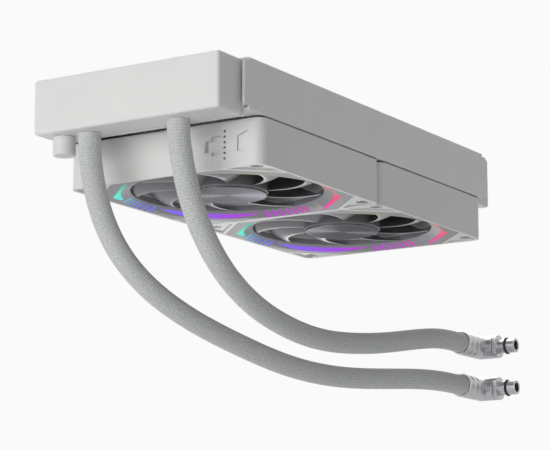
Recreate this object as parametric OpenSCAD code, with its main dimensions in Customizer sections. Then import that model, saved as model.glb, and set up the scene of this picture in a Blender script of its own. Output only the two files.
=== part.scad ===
// Liquid cooling radiator: a flat-tube heat exchanger with two fans under it and two sleeved hoses.
// The origin is the centre of the top mounting face, +Z is up, and the hose end is at -Y.

/* [Side rails] */
// How far a rail stands out past a fan's side
rail_proud = 0.1; // [0:0.1:2]
// Height of the side rails
rail_h = 27; // [25:1:32]
// Distance from the tapped holes to a flange's inner edge
flange_edge = 5.5; // [3:0.5:8]
// Thickness of the rail sheet
rail_t = 1.5; // [1:0.1:2]
// Outer bend radius of a rail
rail_bend_r = 1; // [0.5:0.1:1.2]
// Length of the tongues that lap past the header plates
rail_lap = 4.5; // [2:0.5:8]
// Radius of the tapped holes in the rails
tap_r = 1.5; // [1.45:0.05:1.8]

/* [Tanks] */
// How far a tank's side stands in from the rail's outer face
tank_inset = 3; // [2:0.5:4]
// How far the tanks reach below the rails
tank_below = 3; // [0:0.5:5]
// How far the tank tops lie below the mounting face
tank_drop = 1; // [0:0.5:2]
// Depth of the front tank, which carries the ports
front_tank_d = 21.5; // [19:0.5:28]
// Depth of the rear tank
rear_tank_d = 12.5; // [9:0.5:20]
// Wall of the tanks
tank_wall = 1.5; // [1:0.1:2]
// Rounding of a tank's outer edges
tank_r = 1.6; // [0.5:0.1:3]
// Thickness of the header plates and the divider
header_t = 1.5; // [1:0.1:2]
// Space between the front header plate and the front fan
front_gap = 11; // [6:0.5:16]
// Space between the rear fan and the rear header plate
rear_gap = 1; // [0.5:0.5:6]

/* [Core] */
// Number of flat tubes
tube_count = 12; // [10:1:13]
// Thickness of a flat tube
tube_w = 2; // [1.6:0.1:2.6]
// How far the tubes and fins lie inside the rails' faces
core_inset = 4.5; // [4:0.5:6]
// Wall of a flat tube
tube_wall = 0.4; // [0.3:0.05:0.6]
// How far the tubes reach through a header plate
tube_reach = 1.5; // [0.5:0.5:3]
// Length of one fin wave
fin_pitch = 6; // [5:0.5:10]
// Thickness of the fin strip, measured across the radiator
fin_t = 0.8; // [0.5:0.1:1.2]

/* [Ports] */
// Distance of the inlet port from the tank's left side
inlet_inset = 27; // [25:1:31]
// Distance of the outlet port from the tank's right side
outlet_inset = 32; // [25:1:37]
// Distance of the ports from the tank's front
port_setback = 12; // [10:0.5:14]
// Distance of the filler from the tank's left side
filler_inset = 11; // [9:0.5:13]
// Place of the divider across the front tank
divider_x = -3; // [-10:1:10]
// Outer radius of the hose nipples and elbow stems
nipple_r = 4; // [3.5:0.1:4.3]
// Bore radius of the nipples and fittings
coolant_r = 2.8; // [2:0.1:3]
// Length of a nipple inside its hose
nipple_len = 16; // [10:1:20]
// Outer radius of the filler cap
filler_cap_r = 5.9; // [5.4:0.1:6.2]
// Length of the filler cap
filler_cap_len = 10; // [8:0.5:14]
// Outer radius of the filler neck
filler_neck_r = 4; // [3.4:0.1:4.4]
// Thickness of the filler seal
filler_seal_t = 0.8; // [0.5:0.1:1.2]
// Thickness of the filler cap's end
filler_cap_end = 1.5; // [1:0.1:2.5]

/* [Hoses] */
// Outer radius of the sleeved hoses
hose_r = 5.8; // [5.2:0.1:6.2]
// Length of a crimp collar
collar_len = 16; // [10:1:18]
// Wall of a crimp collar
collar_wall = 1; // [0.6:0.1:1.6]
// Outer radius of the elbow bodies
elbow_r = 6.8; // [6:0.1:8]
// Reach of an elbow's two legs from its corner
elbow_leg = 10; // [9:0.5:14]
// Radius of a swivel spigot
spigot_r = 4.2; // [3.8:0.1:4.8]
// Length of a spigot past its flange
spigot_len = 11; // [9:0.5:16]
// Length of a spigot inside its elbow
spigot_tail = 7; // [5:0.5:8]
// Thickness of a spigot's flange
spigot_flange_t = 2.5; // [2:0.1:4]
// Distance between the two flats of a spigot's flange
spigot_flats = 10.4; // [9.8:0.2:12]
// Length of the plain tip before the seal
spigot_tip = 5; // [4.5:0.5:6]
// Thickness of a spigot's seal ring
seal_t = 1.6; // [1.2:0.1:2]
// Depth of the seal groove
seal_depth = 0.8; // [0.5:0.1:1]

/* [Fan frames] */
// Side of a fan frame
fan_size = 119.8; // [118:0.1:122]
// Space between the two frames
fan_space = 0.2; // [0.2:0.1:6]
// Thickness of a fan with its upper pads
fan_t = 25; // [24:0.5:30]
// Rounding of a frame's upright corners
fan_corner_r = 6; // [3:0.5:8]
// Least thickness of a frame beside the air opening
frame_wall = 8.4; // [7.5:0.1:10]
// Distance of the screw holes from a frame's sides
screw_inset = 7.4; // [6.5:0.1:8.5]
// Radius of the screw holes in a frame
screw_hole_r = 2.2; // [1.8:0.1:2.5]
// Radius of the pockets for the screw heads
head_pocket_r = 3.4; // [3.1:0.1:3.8]
// Depth of the pockets for the screw heads
head_pocket_d = 3.2; // [2.6:0.1:5]
// Width of the rim round the shallow recess in a frame's lower corners
recess_rim = 2.2; // [1.5:0.1:3]
// Depth of that recess
recess_d = 0.8; // [0.3:0.1:1.2]
// Thickness of the upper pads
pad_t = 1; // [0.6:0.1:2]
// Side of the upper pads
pad_size = 12; // [10:0.5:13]
// Corner radius of the upper pads
pad_r = 2; // [0.5:0.5:4]
// Radius of the motor base
base_r = 20; // [18.5:0.5:22]
// Thickness of the motor base and struts
base_t = 2.2; // [1.6:0.1:3]
// Width of the struts
strut_w = 5; // [3:0.5:8]

/* [Light ring] */
// Width of the frame's rim outside the bezel
bezel_rim = 1.6; // [1:0.1:3]
// Width of the bezel at its cut corners
bezel_corner = 13.5; // [12:0.5:15]
// Thickness of the bezel
bezel_t = 4; // [3.5:0.1:5]
// Wall of the bezel's inner skirt
skirt_t = 0.7; // [0.5:0.1:1]
// Least width of the bezel's flat outside its bevel
bevel_flat = 0.3; // [0.2:0.1:2]
// Rise of the bevel towards the air opening
bevel_rise = 3; // [2:0.1:3.2]
// Thickness of the light guide's plate
guide_t = 1; // [0.6:0.1:1.5]
// Thickness of the light board
light_board_t = 1; // [0.6:0.1:1.5]
// Number of dashes in a group
dash_count = 7; // [4:1:7]
// Angle between two dashes
dash_step = 4.5; // [4.25:0.25:5]
// Width of a dash
dash_w = 2.2; // [1.4:0.1:2.6]
// Distance of a dash's inner end from the bezel's skirt
dash_inset = 0.9; // [0.6:0.1:2.5]
// Angle between the end of a bar and the middle of the next dash
dash_gap = 4.5; // [4:0.5:8]
// Distance of a bar's inner edge from the air opening
bar_gap = 2.5; // [1.5:0.25:4]
// Thickness of a bar at its middle
bar_t = 4.5; // [3:0.25:6]
// Half the angle that a bar covers
bar_half = 31; // [25:1:33]
// Distance of a wedge's inner edge from the air opening
wedge_gap = 5; // [4.5:0.25:7]
// Thickness of a wedge at its middle and along its tail
wedge_t = 2.3; // [1:0.1:4]
// Angle between the wide end of a wedge and the middle of the next dash
wedge_space = 4; // [4:0.5:10]
// Angle between the end of a wedge's tail and the middle of the next dash
tail_space = 10; // [6:0.5:14]

/* [Rotors] */
// Radius of the hub
hub_r = 22; // [20.5:0.25:24]
// Wall of the hub
hub_wall = 1.5; // [1.2:0.1:2]
// How far the hub's face lies above the frame's underside
hub_recess = 1.5; // [1:0.1:3]
// Clear gap between the hub's rim and the motor base
hub_gap = 3.3; // [2:0.1:5]
// Thickness of the hub cap
cap_t = 0.7; // [0.4:0.1:0.9]
// How far the hub cap's edge lies inside the hub's edge
cap_inset = 0.6; // [0.2:0.1:2]
// Number of blades
blade_count = 9; // [7:1:9]
// Clear gap between the blade tips and the frame
tip_gap = 1.4; // [0.8:0.1:3]
// Thickness of a blade
blade_t = 1.3; // [1:0.1:1.8]
// Angle that a blade covers round the axis
blade_chord = 38; // [30:1:40]
// Angle that a blade's tip trails its root
blade_sweep = 24; // [0:1:40]
// Height of a blade along the axis
blade_h = 14; // [10:0.5:15]
// Share of that height which a blade loses towards its tip
blade_taper = 0.25; // [0:0.05:0.4]
// Share of a blade's rise that is even along its chord
blade_even = 0.35; // [0.2:0.05:1]
// Thickness of the magnet ring
magnet_t = 1.8; // [1.2:0.1:2.4]
// Height of the magnet ring
magnet_h = 10; // [7:0.5:12]
// How far the magnet ring lies inside the hub's rim
magnet_inset = 1; // [0.5:0.1:2]
// Air gap between the stator and the magnet ring
air_gap = 0.6; // [0.4:0.1:1]
// Radius of a shaft
shaft_r = 1.5; // [1.2:0.1:2]
// Depth of a shaft's seat in the hub's face
shaft_seat = 0.5; // [0.2:0.1:0.8]
// Outer radius of the hub's boss round the shaft
boss_r = 3.6; // [3:0.1:4.5]
// Height of the hub's boss
boss_h = 5; // [4:0.5:6]
// Running clearance of a shaft in its bearing
shaft_play = 0.05; // [0.02:0.01:0.09]

/* [Motors] */
// Outer radius of the bearing tube
bearing_tube_r = 4.5; // [4:0.1:5]
// Outer radius of the bearing
bearing_r = 3.2; // [2.6:0.1:3.4]
// Clear gap between the hub's boss and the bearing tube
boss_gap = 1.3; // [0.5:0.1:3]
// How far the bearing ends inside its tube
bearing_inset = 2; // [1:0.5:4]
// Thickness of the motor board
motor_board_t = 1; // [0.8:0.1:1.6]
// Radius of the motor board
motor_board_r = 17; // [12:0.5:18]
// Height of the stator
stator_h = 6; // [4:0.5:7]
// Radius of the stator's inner ring
stator_ring_r = 7.5; // [6.5:0.25:9]
// Width of a stator pole's neck
pole_w = 4; // [3:0.5:6]
// Width of a stator pole's shoe
shoe_w = 12.8; // [10:0.2:14]
// Thickness of a stator pole's shoe
shoe_t = 1.6; // [1:0.1:2]
// Thickness of a winding round its neck
winding_t = 1.6; // [1:0.1:2]
// Space between a winding and its pole's shoe
winding_space = 1.5; // [0.5:0.1:2]

/* [Links and screws] */
// Distance of the contact column from the frame's side
contact_x = 22; // [20:0.5:24]
// Number of contacts in the column
contact_count = 6; // [4:1:6]
// Distance between two contacts
contact_step = 2.8; // [2.2:0.1:3]
// Radius of a contact
contact_r = 0.6; // [0.4:0.05:0.8]
// Depth of the contact holes and the key recess
link_depth = 2; // [1.5:0.1:2.4]
// Distance from the contact column to the key recess
key_gap = 2; // [1.5:0.5:4]
// Width of the key recess
key_w = 10; // [7:0.5:11]
// Width of the key recess's tall part
key_step = 6; // [4:0.5:6.5]
// Height of the key recess's tall part
key_h = 10; // [8:0.5:12]
// Height of the key recess's low part
key_tip_h = 6; // [4:0.5:7]
// Distance from the contact column to the latch groove's upright
latch_gap = 8; // [7:0.5:10]
// Height of the latch groove's upright
latch_h = 8; // [6:0.5:10]
// Length of the latch groove's two arms
latch_arm = 6; // [4:0.5:7]
// Slant of the latch groove's two arms
latch_slant = 20; // [0:1:30]
// Width of the latch groove
latch_w = 1.1; // [0.6:0.1:1.4]
// Depth of the latch groove
latch_depth = 1.1; // [0.4:0.1:1.3]
// Radius of a screw's shank
screw_r = 1.45; // [1.2:0.05:1.45]
// Radius of a screw's head
head_r = 2.8; // [2.4:0.1:3]
// Height of a screw's head
head_h = 2; // [1.5:0.1:2.5]
// How far a screw reaches past the rail's lower flange
screw_past = 1.8; // [0.5:0.1:2.4]
// Length of the cross in a screw's head
cross_len = 3.4; // [2.4:0.1:4]
// Width of the cross in a screw's head
cross_w = 0.8; // [0.5:0.1:1.2]
// Depth of the cross in a screw's head
cross_d = 1; // [0.5:0.1:1.4]

/* [Hidden] */
$fn = 64;

// Fit clearances: seated pieces, brazed or glued joints, and turning pieces
fit_gap = 0.1;
glue_gap = 0.05;
turn_gap = 0.08;
// Overrun of a cutter past the face that it cuts
over = 1;

// Levels and lengths that follow from the sizes above
fan_pitch = fan_size + fan_space;
screw_pitch = fan_size - 2 * screw_inset;
rad_w = fan_size + 2 * rail_proud;
rail_flange = (rad_w - screw_pitch) / 2 + flange_edge;
tank_w = rad_w - 2 * tank_inset;
tank_bot = -rail_h - tank_below;
tank_h = rail_h + tank_below - tank_drop;
front_core_y = -(fan_pitch + front_gap);
rear_core_y = fan_pitch + rear_gap;
core_len = rear_core_y - front_core_y;
inlet_x = inlet_inset - tank_w / 2;
outlet_x = tank_w / 2 - outlet_inset;
filler_x = filler_inset - tank_w / 2;
port_y = front_core_y - header_t - front_tank_d + port_setback;
core_half_w = rad_w / 2 - rail_t;
core_z = -rail_h / 2;
tube_h = rail_h - 2 * core_inset;
tongue_h = rail_h - 2 * rail_t - rail_bend_r;
fin_w = (2 * core_half_w - tube_count * tube_w) / (tube_count + 1);
tube_step = fin_w + tube_w;
fin_half_waves = 2 * floor(core_len / fin_pitch);
filler_neck_len = filler_cap_len - filler_cap_end - filler_seal_t;
spigot_all = spigot_tail + turn_gap + spigot_flange_t + spigot_len;
spigot_end = elbow_leg - spigot_tail + spigot_all;

fan_top = -rail_h - pad_t;
fan_bot = -rail_h - fan_t;
fan_mid = (fan_top + fan_bot) / 2;
bezel_top = fan_bot + bezel_t;
guide_top = bezel_top + guide_t;
pocket_d = bezel_t + guide_t + light_board_t;
fan_bore_r = fan_size / 2 - frame_wall;
skirt_r = fan_bore_r + skirt_t;
bezel_half = fan_size / 2 - bezel_rim;
bezel_diag = fan_bore_r + bezel_corner;
bevel_r = bezel_half - bevel_flat;
bar_in_r = fan_bore_r + bar_gap;
wedge_in_r = fan_bore_r + wedge_gap;
wedge_chord = wedge_in_r + wedge_t;
dash_len = bevel_r - skirt_r - dash_inset;
dash_span = (dash_count - 1) * dash_step;
dash_offset = bar_half + dash_gap + dash_span / 2;
wedge_wide = 90 - dash_offset - dash_span / 2 - wedge_space;
wedge_tail = 90 - dash_offset - dash_span / 2 - tail_space;

base_bot = fan_top - base_t;
hub_bot = fan_bot + hub_recess;
hub_floor = hub_bot + hub_wall;
hub_h = base_bot - hub_bot - hub_gap;
shaft_bot = hub_floor - shaft_seat;
hub_in_r = hub_r - hub_wall;
magnet_out_r = hub_in_r - glue_gap;
magnet_in_r = magnet_out_r - magnet_t;
magnet_bot = hub_bot + hub_h - magnet_h - magnet_inset;
stator_r = magnet_in_r - air_gap;
stator_bot = magnet_bot + (magnet_h - stator_h) / 2;
bearing_tube_len = base_bot - shaft_bot - boss_h - boss_gap;
bearing_len = bearing_tube_len - bearing_inset;
bearing_bot = base_bot - bearing_len;
key_x = contact_x + key_gap;
latch_x = contact_x - latch_gap;
neck_len = stator_r - shoe_t - stator_ring_r;
blade_root_r = hub_r - hub_wall / 2;
blade_tip_r = fan_bore_r - tip_gap;

SCREW_PLACES = [for (x = [-1, 1], y = [-1, 1]) [x * screw_pitch / 2, y * screw_pitch / 2]];
FANS = [-fan_pitch / 2, fan_pitch / 2];

// Routes of the two hoses, from the tank's underside to the elbows
INLET_ROUTE = [
  [inlet_x, port_y, tank_bot], [inlet_x, port_y, tank_bot - 8],
  [-28, -142, -52], [-25, -139, -71], [-19, -132, -91], [-11, -119, -107],
  [-4, -101, -118], [2, -79, -126], [7, -55, -132], [11, -31, -137],
  [15, -7, -140], [20, 17, -141], [26, 40, -140], [32, 62, -138],
  [37, 84, -136], [39, 106, -135], [39, 126, -135], [39, 146, -135]
];
OUTLET_ROUTE = [
  [outlet_x, port_y, tank_bot], [outlet_x, port_y, tank_bot - 8],
  [27, -141, -52], [29, -138, -69], [32, -130, -87], [34, -117, -102],
  [35, -99, -113], [35, -78, -120], [35, -56, -124], [34, -33, -126],
  [34, -9, -126], [35, 15, -124], [36, 39, -121], [37, 62, -117],
  [38, 84, -113], [39, 106, -110], [39, 126, -110], [39, 146, -110]
];
HOSE_SIDES = 12;
RINGS_PER_POINT = 2;

// Steps of a blade's surface from root to tip and along its chord
BLADE_R = 5;
BLADE_C = 5;

// A point on the smooth curve that a list of route points steers, for step i and share t of it
function route_point(p, i, t) =
  let (n = len(p) - 1,
       a = i == 0 ? 2 * p[0] - p[1] : p[i - 1],
       d = i == n - 1 ? 2 * p[n] - p[n - 1] : p[i + 2])
  (pow(1 - t, 3) * a + (3 * t * t * t - 6 * t * t + 4) * p[i]
   + (-3 * t * t * t + 3 * t * t + 3 * t + 1) * p[i + 1] + t * t * t * d) / 6;

// All ring centres along a route
function route_curve(p) = concat(
  [for (i = [0 : len(p) - 2], k = [0 : RINGS_PER_POINT - 1]) route_point(p, i, k / RINGS_PER_POINT)],
  [p[len(p) - 1]]);

function unit(v) = v / norm(v);

// Direction of travel at ring i of a curve; the ends take the route's own end directions
function heading(c, i) =
  i == 0 ? [0, 0, -1] : i == len(c) - 1 ? [0, 1, 0] : unit(c[i + 1] - c[i - 1]);

// Points of a round section at ring i, square to the curve
function ring(c, i, r) =
  let (t = heading(c, i), u = unit(cross(t, [1, 0, 0])), v = cross(t, u))
  [for (k = [0 : HOSE_SIDES - 1])
    let (a = 360 * k / HOSE_SIDES) c[i] + r * (cos(a) * u + sin(a) * v)];

// A round tube swept along a route as one closed solid
module swept_hose(route) {
  c = route_curve(route);
  n = len(c);
  points = [for (i = [0 : n - 1]) each ring(c, i, hose_r)];
  side_faces = [for (i = [0 : n - 2], k = [0 : HOSE_SIDES - 1])
    let (a = i * HOSE_SIDES + k,
         b = i * HOSE_SIDES + (k + 1) % HOSE_SIDES,
         e = b + HOSE_SIDES,
         f = a + HOSE_SIDES)
    each [[a, b, e], [a, e, f]]];
  start_face = [for (k = [HOSE_SIDES - 1 : -1 : 0]) k];
  end_face = [for (k = [0 : HOSE_SIDES - 1]) (n - 1) * HOSE_SIDES + k];
  polyhedron(points, concat([start_face], side_faces, [end_face]));
}

// Rectangle with round corners, centred on the origin
module rounded_rect(w, h, r) {
  square([w - 2 * r, h], center = true);
  square([w, h - 2 * r], center = true);
  for (x = [-1, 1], y = [-1, 1])
    translate([x * (w / 2 - r), y * (h / 2 - r)]) circle(r);
}

// Long slot with round ends, upright
module flat_tube_outline(w, h) {
  square([w, h - w], center = true);
  for (y = [-1, 1]) translate([0, y * (h - w) / 2]) circle(d = w);
}

// Extrudes an outline drawn in X and Z along Y, from y0 over a length
module along_y(y0, length) {
  translate([0, y0 + length, 0]) rotate([90, 0, 0]) linear_extrude(length) children();
}

// Places what is drawn on a core tube's middle, for every tube
module at_tubes() {
  for (i = [0 : tube_count - 1])
    translate([(i - (tube_count - 1) / 2) * tube_step, core_z]) children();
}

// Tank shell, open towards +Y at y = 0 and rounded on its closed side
module tank_shell(depth) {
  difference() {
    intersection() {
      translate([0, 0, tank_bot]) linear_extrude(tank_h) intersection() {
        rounded_rect(tank_w, 2 * depth, tank_r);
        translate([-tank_w / 2, -depth]) square([tank_w, depth]);
      }
      translate([tank_w / 2, 0, tank_bot + tank_h / 2]) rotate([90, 0, -90])
        linear_extrude(tank_w) intersection() {
          rounded_rect(2 * depth, tank_h, tank_r);
          translate([0, -tank_h / 2]) square([depth, tank_h]);
        }
    }
    translate([-tank_w / 2 + tank_wall, -depth + tank_wall, tank_bot + tank_wall])
      cube([tank_w - 2 * tank_wall, depth, tank_h - 2 * tank_wall]);
  }
}

module front_tank() color("white") difference() {
  translate([0, front_core_y - header_t, 0]) tank_shell(front_tank_d);
  for (x = [inlet_x, outlet_x])
    translate([x, port_y, tank_bot - over]) cylinder(r = nipple_r + glue_gap, h = tank_wall + 2 * over);
  translate([filler_x, port_y, tank_bot - over])
    cylinder(r = filler_neck_r + glue_gap, h = tank_wall + 2 * over);
}

module rear_tank() color("white")
  translate([0, rear_core_y + header_t, 0]) mirror([0, 1, 0]) tank_shell(rear_tank_d);

// Plate that closes a tank and holds the ends of the tubes
module header_plate(y0) {
  difference() {
    union() {
      translate([-tank_w / 2, y0, tank_bot]) cube([tank_w, header_t, tank_h]);
      translate([-core_half_w, y0, core_z - tongue_h / 2]) cube([2 * core_half_w, header_t, tongue_h]);
    }
    along_y(y0 - over, header_t + 2 * over) at_tubes()
      flat_tube_outline(tube_w + 2 * glue_gap, tube_h + 2 * glue_gap);
  }
}

module front_header() color("gainsboro") header_plate(front_core_y - header_t);

module rear_header() color("gainsboro") header_plate(rear_core_y);

// Sheet channel along the right side, with tapped holes and a tongue past each header
module side_rail() {
  difference() {
    along_y(front_core_y, core_len) difference() {
      translate([rad_w / 2 - rail_flange / 2, core_z]) rounded_rect(rail_flange, rail_h, rail_bend_r);
      translate([rad_w / 2 - rail_flange - over, rail_t - rail_h])
        square([rail_flange - rail_t + over, rail_h - 2 * rail_t]);
    }
    for (fan_y = FANS, y = [-1, 1])
      translate([screw_pitch / 2, fan_y + y * screw_pitch / 2, -rail_h - over])
        cylinder(r = tap_r, h = rail_h + 2 * over);
  }
  translate([core_half_w, front_core_y - rail_lap, core_z - tongue_h / 2])
    cube([rail_t, core_len + 2 * rail_lap, tongue_h]);
}

module right_rail() color("white") side_rail();

module left_rail() color("white") mirror([1, 0, 0]) side_rail();

module core_tubes() color("silver")
  along_y(front_core_y - header_t - tube_reach, core_len + 2 * header_t + 2 * tube_reach)
    at_tubes() difference() {
      flat_tube_outline(tube_w, tube_h);
      flat_tube_outline(tube_w - 2 * tube_wall, tube_h - 2 * tube_wall);
    }

// Folded strips that fill the rows between the tubes and beside the rails
module core_fins() color("whitesmoke") {
  fold = core_len / fin_half_waves;
  zigzag = [for (i = [0 : fin_half_waves]) [(i % 2 - 0.5) * (fin_w - fin_t), front_core_y + i * fold]];
  there = [for (p = zigzag) p + [fin_t / 2, 0]];
  back = [for (i = [fin_half_waves : -1 : 0]) zigzag[i] - [fin_t / 2, 0]];
  for (row = [0 : tube_count])
    translate([(row - tube_count / 2) * tube_step, 0, core_z - tube_h / 2])
      linear_extrude(tube_h) polygon(concat(there, back));
}

module tank_divider() color("gainsboro")
  translate([divider_x - header_t / 2, front_core_y - header_t - front_tank_d + tank_wall,
             tank_bot + tank_wall])
    cube([header_t, front_tank_d - tank_wall - tube_reach - fit_gap, tank_h - 2 * tank_wall]);

// Round pipe that stands through the tank's floor
module floor_pipe(x, r, bore_r, length) {
  translate([x, port_y, tank_bot - length]) difference() {
    cylinder(r = r, h = length + tank_wall + over);
    translate([0, 0, -over]) cylinder(r = bore_r, h = length + tank_wall + 3 * over);
  }
}

module filler_neck() color("silver")
  floor_pipe(filler_x, filler_neck_r, coolant_r, filler_neck_len);

module filler_cap() color("white") translate([filler_x, port_y, tank_bot - filler_cap_len]) difference() {
  cylinder(r = filler_cap_r, h = filler_cap_len);
  translate([0, 0, filler_cap_end]) cylinder(r = filler_neck_r + glue_gap, h = filler_cap_len);
}

module filler_seal() color("black")
  translate([filler_x, port_y, tank_bot - filler_neck_len - filler_seal_t])
    cylinder(r = filler_neck_r - glue_gap, h = filler_seal_t);

module inlet_nipple() color("silver") floor_pipe(inlet_x, nipple_r, coolant_r, nipple_len);

module outlet_nipple() color("silver") floor_pipe(outlet_x, nipple_r, coolant_r, nipple_len);

module inlet_hose() color("lightgray") swept_hose(INLET_ROUTE);

module outlet_hose() color("lightgray") swept_hose(OUTLET_ROUTE);

function route_end(route) = route[len(route) - 1];

// Turns a shape drawn along +Z from the hose's end so that it runs on along +Y
module at_hose_end(route) translate(route_end(route)) rotate([-90, 0, 0]) children();

// Turns a shape drawn along +Z from an elbow's corner so that it runs along +X
module at_elbow_port(route) translate(route_end(route) + [0, elbow_leg, 0]) rotate([0, 90, 0]) children();

module crimp_collar(route) at_hose_end(route) translate([0, 0, -collar_len]) difference() {
  cylinder(r = hose_r + glue_gap + collar_wall, h = collar_len);
  translate([0, 0, -over]) cylinder(r = hose_r + glue_gap, h = collar_len + 2 * over);
}

module inlet_collar() color("silver") crimp_collar(INLET_ROUTE);

module outlet_collar() color("silver") crimp_collar(OUTLET_ROUTE);

// Bent fitting: a stem in the hose, a round corner, and a socket for the spigot
module elbow(route) {
  difference() {
    union() {
      at_hose_end(route) translate([0, 0, -nipple_len]) cylinder(r = nipple_r, h = nipple_len + over);
      at_hose_end(route) cylinder(r = elbow_r, h = elbow_leg);
      at_elbow_port(route) sphere(elbow_r);
      at_elbow_port(route) cylinder(r = elbow_r, h = elbow_leg);
    }
    at_hose_end(route) translate([0, 0, -nipple_len - over])
      cylinder(r = coolant_r, h = nipple_len + over + elbow_leg);
    at_elbow_port(route) cylinder(r = coolant_r, h = elbow_leg);
    at_elbow_port(route) translate([0, 0, elbow_leg - spigot_tail - turn_gap])
      cylinder(r = spigot_r + turn_gap, h = spigot_tail + turn_gap + over);
  }
}

module inlet_elbow() color("dimgray") elbow(INLET_ROUTE);

module outlet_elbow() color("dimgray") elbow(OUTLET_ROUTE);

// Turning spigot with a flange, two flats for a key, and a groove for its seal
module spigot(route) at_elbow_port(route) difference() {
  union() {
    translate([0, 0, elbow_leg - spigot_tail])
      cylinder(r = spigot_r, h = spigot_all);
    intersection() {
      translate([0, 0, elbow_leg + turn_gap]) cylinder(r = elbow_r, h = spigot_flange_t);
      translate([-elbow_r, -spigot_flats / 2, elbow_leg])
        cube([2 * elbow_r, spigot_flats, turn_gap + spigot_flange_t + over]);
    }
  }
  translate([0, 0, elbow_leg - spigot_tail - over]) cylinder(r = coolant_r, h = spigot_all + 2 * over);
  translate([0, 0, spigot_end - spigot_tip - seal_t])
    difference() {
      cylinder(r = spigot_r + over, h = seal_t);
      cylinder(r = spigot_r - seal_depth, h = seal_t);
    }
}

module inlet_spigot() color("silver") spigot(INLET_ROUTE);

module outlet_spigot() color("silver") spigot(OUTLET_ROUTE);

module spigot_seal(route) at_elbow_port(route)
  translate([0, 0, spigot_end - spigot_tip - seal_t / 2])
    rotate_extrude() translate([spigot_r - seal_depth + seal_t / 2, 0])
      circle(d = seal_t - 2 * glue_gap, $fn = 32);

module inlet_seal() color("black") spigot_seal(INLET_ROUTE);

module outlet_seal() color("black") spigot_seal(OUTLET_ROUTE);

// Outline of the bezel: a square with its corners cut straight
module bezel_outline(grow) {
  h = bezel_half + grow;
  c = (bezel_diag + grow) * sqrt(2) - h;
  polygon([[h, -c], [h, c], [c, h], [-c, h], [-h, c], [-h, -c], [-c, -h], [c, -h]]);
}

// Plan of the lit windows: bars in two corners, wedges in the others, dashes between them.
// A wedge runs along the bezel's cut corner: its wide end is cut along the bezel's side, its tail is even.
module light_windows(grow) {
  bar_out_r = bar_in_r + bar_t;
  shift = (bar_out_r * bar_out_r - bar_in_r * bar_in_r)
    / (2 * (bar_out_r - bar_in_r * cos(bar_half)));
  for (turn = [-45, 135]) rotate(turn) {
    difference() {
      translate([shift, 0]) circle(bar_out_r - shift + grow);
      circle(bar_in_r - grow);
    }
    for (side = [-1, 1], i = [0 : dash_count - 1])
      rotate(side * dash_offset + (i - (dash_count - 1) / 2) * dash_step)
        translate([bevel_r - dash_len / 2, 0])
          square([dash_len + 2 * grow, dash_w + 2 * grow], center = true);
    rotate(90) {
      out = wedge_chord + grow;
      base = wedge_in_r * (cos(wedge_wide) + sin(wedge_wide)) + grow * sqrt(2);
      difference() {
        polygon([[0, 0], [base / 2, -base / 2], [out, out - base], [out, 0]]);
        circle(wedge_in_r - grow);
      }
      translate([wedge_in_r - grow, -over])
        square([wedge_t + 2 * grow, over + wedge_chord * tan(wedge_tail) + grow]);
    }
  }
}

// Cone that the bevel cuts from the bezel
module bevel_cone() translate([0, 0, fan_bot]) cylinder(r1 = bevel_r, r2 = fan_bore_r, h = bevel_rise);

// Stepped outline of the key recess and its plug, drawn on a frame's end face
module key_outline(gap) {
  x0 = fan_size / 2 - key_x;
  translate([x0 - key_step + gap, gap - key_h / 2]) square([key_step - 2 * gap, key_h - 2 * gap]);
  translate([x0 - key_w + gap, gap - key_tip_h / 2]) square([key_w - 2 * gap, key_tip_h - 2 * gap]);
}

// Places what is drawn on a contact's middle, for every contact of a frame's end face
module at_contacts() {
  for (i = [0 : contact_count - 1])
    translate([fan_size / 2 - contact_x, (i - (contact_count - 1) / 2) * contact_step]) children();
}

// Latch groove on a frame's end face: an upright with two slanted arms
module latch_outline() {
  translate([fan_size / 2 - latch_x, 0]) square([latch_w, latch_h], center = true);
  for (side = [-1, 1])
    translate([fan_size / 2 - latch_x, side * (latch_h - latch_w) / 2]) rotate(side * latch_slant)
      translate([0, -latch_w / 2]) square([latch_arm, latch_w]);
}

// Recesses of one end face, cut inwards from y = -fan_size / 2
module link_socket() translate([0, 0, fan_mid]) {
  along_y(-fan_size / 2 - over, link_depth + over) {
    key_outline(0);
    at_contacts() circle(contact_r + fit_gap);
  }
  along_y(-fan_size / 2 - over, latch_depth + over) latch_outline();
}

module fan_frame(fan_y) translate([0, fan_y, 0]) {
  difference() {
    translate([0, 0, fan_bot]) linear_extrude(fan_top - fan_bot)
      rounded_rect(fan_size, fan_size, fan_corner_r);
    translate([0, 0, fan_bot - over]) cylinder(r = fan_bore_r, h = fan_t + 2 * over);
    translate([0, 0, fan_bot - over]) linear_extrude(pocket_d + over) bezel_outline(fit_gap);
    translate([0, 0, fan_bot - over]) linear_extrude(recess_d + over) difference() {
      rounded_rect(fan_size - 2 * recess_rim, fan_size - 2 * recess_rim, fan_corner_r - recess_rim);
      bezel_outline(recess_rim);
    }
    for (p = SCREW_PLACES) translate([p[0], p[1], fan_bot - over]) {
      cylinder(r = screw_hole_r, h = fan_t + 2 * over);
      cylinder(r = head_pocket_r, h = head_pocket_d + over);
    }
    link_socket();
    mirror([0, 1, 0]) link_socket();
  }
  difference() {
    union() {
      translate([0, 0, base_bot]) cylinder(r = base_r, h = base_t);
      for (a = [45 : 90 : 315]) rotate(a)
        translate([base_r - over, -strut_w / 2, base_bot])
          cube([fan_bore_r - base_r + 2 * over, strut_w, base_t]);
      translate([0, 0, base_bot - bearing_tube_len])
        cylinder(r = bearing_tube_r, h = bearing_tube_len + over);
    }
    translate([0, 0, base_bot - bearing_tube_len - over])
      cylinder(r = bearing_r + glue_gap, h = bearing_tube_len + over);
  }
}

module fan_pads(fan_y) translate([0, fan_y, fan_top]) for (p = SCREW_PLACES) translate([p[0], p[1], 0])
  linear_extrude(pad_t) difference() {
    rounded_rect(pad_size, pad_size, pad_r);
    circle(screw_hole_r);
  }

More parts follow.
